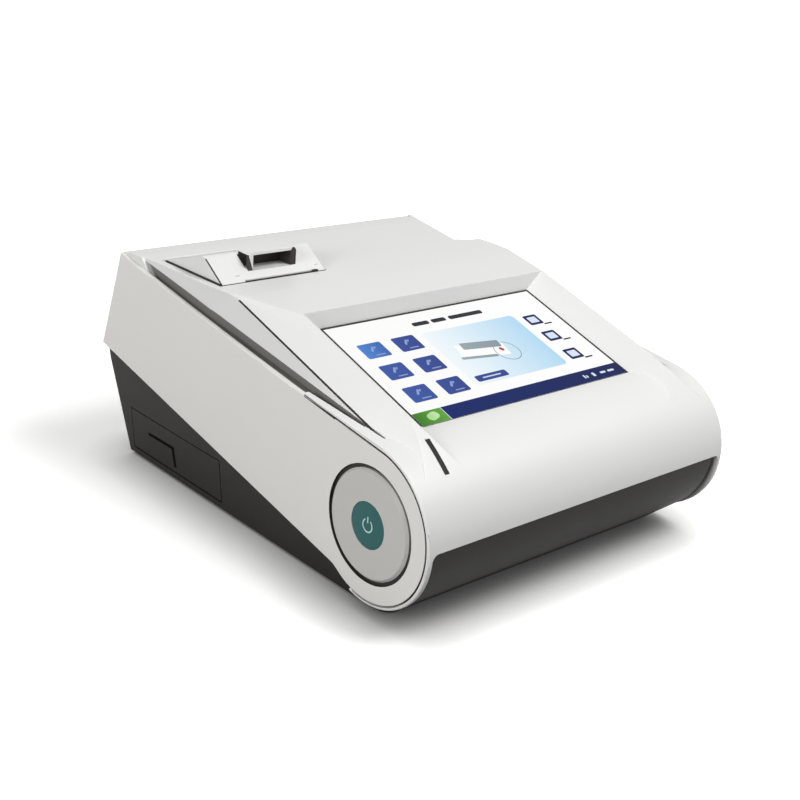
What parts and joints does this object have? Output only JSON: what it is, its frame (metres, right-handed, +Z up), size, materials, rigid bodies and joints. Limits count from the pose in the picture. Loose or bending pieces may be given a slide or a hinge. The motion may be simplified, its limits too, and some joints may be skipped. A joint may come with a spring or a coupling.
{
  "type": "electrolyte analyzer",
  "caption": "Bench-top cartridge electrolyte analyzer with a round nose, a sloping touch screen, a receipt printer under a hinged door and sockets behind a side hatch.",
  "frame": {"origin": "middle of the bounding box's bottom, on the table under the feet", "axes": "+Y towards the back, +Z up, +X to the right of a person facing the screen"},
  "size_m": [0.238, 0.31, 0.1513],
  "materials": {
    "white_abs": "fine satin texture",
    "warm_grey_abs": "fine satin texture",
    "light_grey_abs": "satin",
    "dark_grey_abs": "fine texture",
    "teal_plastic": "satin gloss",
    "black_rubber": "matte",
    "screen_glass": "gloss",
    "smoked_lens": "gloss",
    "steel": "brushed",
    "black_plastic": "satin",
    "green_board": "solder mask",
    "gear_plastic": "moulded",
    "paper": "matt thermal paper",
    "blue_wrap": "shrink wrap"
  },
  "bodies": {
    "casing": {"base_tray": "dark_grey_abs", "top_cover": "white_abs", "left_side_plate": "warm_grey_abs", "right_side_plate": "warm_grey_abs", "left_disc": "warm_grey_abs", "right_disc": "warm_grey_abs", "left_disc_seal": "black_rubber", "right_disc_seal": "black_rubber", "left_groove_strip": "dark_grey_abs", "right_groove_strip": "dark_grey_abs", "button_switch_board": "green_board", "status_light_lens": "smoked_lens", "status_light_board": "green_board", "display_gasket": "black_rubber", "touch_glass": "screen_glass", "display_panel": "black_plastic", "display_bracket": "steel", "door_hinge_pin": "steel", "printer_frame": "steel", "printer_motor": "steel", "print_head": "black_plastic", "printer_tub": "light_grey_abs", "paper_spindle": "light_grey_abs", "usb_bay": "light_grey_abs", "usb_sockets": "steel", "cartridge_bezel": "warm_grey_abs", "cartridge_guide": "light_grey_abs", "clamp_solenoid": "steel", "barcode_reader": "black_plastic", "main_board": "green_board", "board_connectors": "black_plastic", "power_board": "green_board", "battery_pack": "blue_wrap", "speaker": "black_plastic", "rear_port_panel": "light_grey_abs", "rear_inlet": "black_plastic", "network_socket": "steel", "casing_screws": "steel", "rubber_feet": "black_rubber"},
    "printer_door": {"printer_door": "white_abs"},
    "platen": {"platen_roller": "black_rubber", "platen_gear": "gear_plastic"},
    "idler": {"idler_gear": "gear_plastic"},
    "pinion": {"motor_pinion": "gear_plastic"},
    "paper_roll": {"paper_roll": "paper"},
    "power_button": {"power_button": "teal_plastic"},
    "side_hatch": {"side_hatch": "dark_grey_abs"},
    "cartridge_flap": {"cartridge_flap": "warm_grey_abs"},
    "contact_carriage": {"contact_carriage": "black_plastic"}
  },
  "joints": [
    {"name": "door_hinge", "type": "hinge", "parent": "casing", "child": "printer_door", "pos_m": [-0.0695, 0.1, 0.133], "axis": [-1, 0, 0], "range_deg": [0, 90]},
    {"name": "platen_spin", "type": "hinge", "parent": "printer_door", "child": "platen", "pos_m": [-0.06475, 0.048, 0.1305], "axis": [1, 0, 0], "continuous": true},
    {"name": "idler_spin", "type": "hinge", "parent": "casing", "child": "idler", "pos_m": [-0.09715, 0.048, 0.1185], "axis": [1, 0, 0], "continuous": true},
    {"name": "pinion_spin", "type": "hinge", "parent": "casing", "child": "pinion", "pos_m": [-0.09715, 0.0426, 0.10915], "axis": [1, 0, 0], "continuous": true},
    {"name": "roll_spin", "type": "hinge", "parent": "casing", "child": "paper_roll", "pos_m": [-0.0695, 0.08, 0.106], "axis": [1, 0, 0], "continuous": true},
    {"name": "button_press", "type": "slide", "parent": "casing", "child": "power_button", "axis": [1, 0, 0], "range_m": [0, 0.0015], "stiffness_N_per_m": 800, "springref_m": -0.0005},
    {"name": "hatch_hinge", "type": "hinge", "parent": "casing", "child": "side_hatch", "pos_m": [-0.1089, 0.078, 0.008], "axis": [0, -1, 0], "range_deg": [0, 90]},
    {"name": "flap_hinge", "type": "hinge", "parent": "casing", "child": "cartridge_flap", "pos_m": [0.0963, 0.09276, 0.124], "axis": [0.2987, 0.9544, 0], "range_deg": [0, 75], "stiffness_Nm_per_rad": 0.002, "springref_deg": -11.46},
    {"name": "carriage_slide", "type": "slide", "parent": "casing", "child": "contact_carriage", "axis": [0, 0, 1], "range_m": [0, 0.0025]}
  ],
  "couplings": [
    {"joint": "idler_spin", "follows": "platen_spin", "ratio": -0.66667},
    {"joint": "pinion_spin", "follows": "platen_spin", "ratio": 1.3333}
  ]
}
